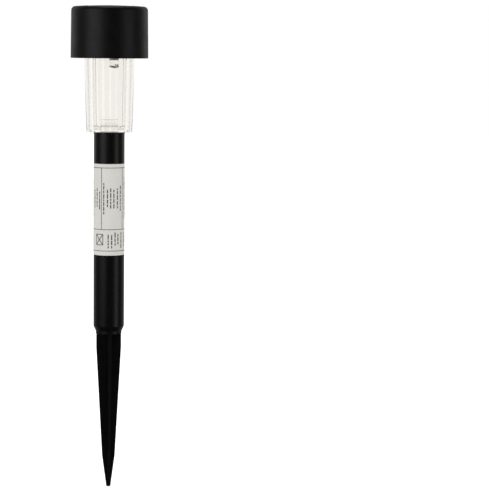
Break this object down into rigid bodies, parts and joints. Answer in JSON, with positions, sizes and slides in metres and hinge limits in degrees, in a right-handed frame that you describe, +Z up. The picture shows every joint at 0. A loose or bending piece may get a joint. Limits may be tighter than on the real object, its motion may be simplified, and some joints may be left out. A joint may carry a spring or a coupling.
{
  "type": "solar garden light",
  "caption": "Stake-type solar garden light: black round cap with solar panel, clear fluted lens, slim labelled pole and finned ground spike.",
  "frame": {"origin": "on the pole's axis at the ground line, where the pole's lower end meets the spike's collar", "axes": "+Z up along the pole, -Y is the front, where a valley of the lens faces, +X to the right"},
  "size_m": [0.058, 0.058, 0.3646],
  "materials": {
    "black_plastic": "satin black moulded polypropylene",
    "clear_plastic": "clear moulded polystyrene",
    "clear_resin": "clear cast epoxy",
    "label_paper": "coated label paper, printed grey",
    "seal_rubber": "translucent silicone",
    "foam": "closed-cell foam tape",
    "board_green": "solder-masked glass-epoxy board",
    "silicon": "dark blue silicon cells",
    "screw_steel": "zinc-plated steel",
    "cell_steel": "nickel-plated steel can",
    "sleeve_green": "printed shrink film",
    "contact_metal": "tinned spring steel and copper",
    "chip_black": "moulded epoxy",
    "inductor_green": "dipped lacquer",
    "phosphor": "yellow phosphor drop",
    "wire_red": "soft vinyl insulation",
    "wire_black": "soft vinyl insulation"
  },
  "bodies": {
    "spike": {"ground_spike": "black_plastic"},
    "pole": {"pole_tube": "black_plastic", "pole_label": "label_paper"},
    "lens": {"lens": "clear_plastic"},
    "seal": {"sealing_ring": "seal_rubber"},
    "head": {"cap_shell": "black_plastic", "panel_foam_pad": "foam", "panel_board": "board_green", "solar_cells": "silicon", "panel_window": "clear_resin", "base_plate": "black_plastic", "base_screws": "screw_steel", "battery_cell": "cell_steel", "battery_sleeve": "sleeve_green", "positive_contact": "contact_metal", "negative_contact": "contact_metal", "negative_spring": "contact_metal", "circuit_board": "board_green", "driver_chip": "chip_black", "inductor": "inductor_green", "inductor_leads": "contact_metal", "led_lens": "clear_resin", "led_leadframe": "contact_metal", "led_chip": "phosphor", "switch_case": "screw_steel", "switch_terminals": "contact_metal", "panel_wire_red": "wire_red", "panel_wire_black": "wire_black", "battery_wire_red": "wire_red", "battery_wire_black": "wire_black", "switch_wire": "wire_red"},
    "switch": {"switch_knob": "black_plastic"}
  },
  "joints": [
    {"name": "pole_pull", "type": "slide", "parent": "spike", "child": "pole", "axis": [0, 0, 1], "range_m": [0, 0.022]},
    {"name": "lens_pull", "type": "slide", "parent": "pole", "child": "lens", "axis": [0, 0, 1], "range_m": [0, 0.016]},
    {"name": "head_twist", "type": "hinge", "parent": "lens", "child": "seal", "pos_m": [0, 0, 0.2123], "axis": [0, 0, 1], "range_deg": [0, 20]},
    {"name": "head_lift", "type": "slide", "parent": "seal", "child": "head", "axis": [0, 0, 1], "range_m": [0, 0.02]},
    {"name": "switch_slide", "type": "slide", "parent": "head", "child": "switch", "axis": [0, 1, 0], "range_m": [0, 0.002]}
  ]
}
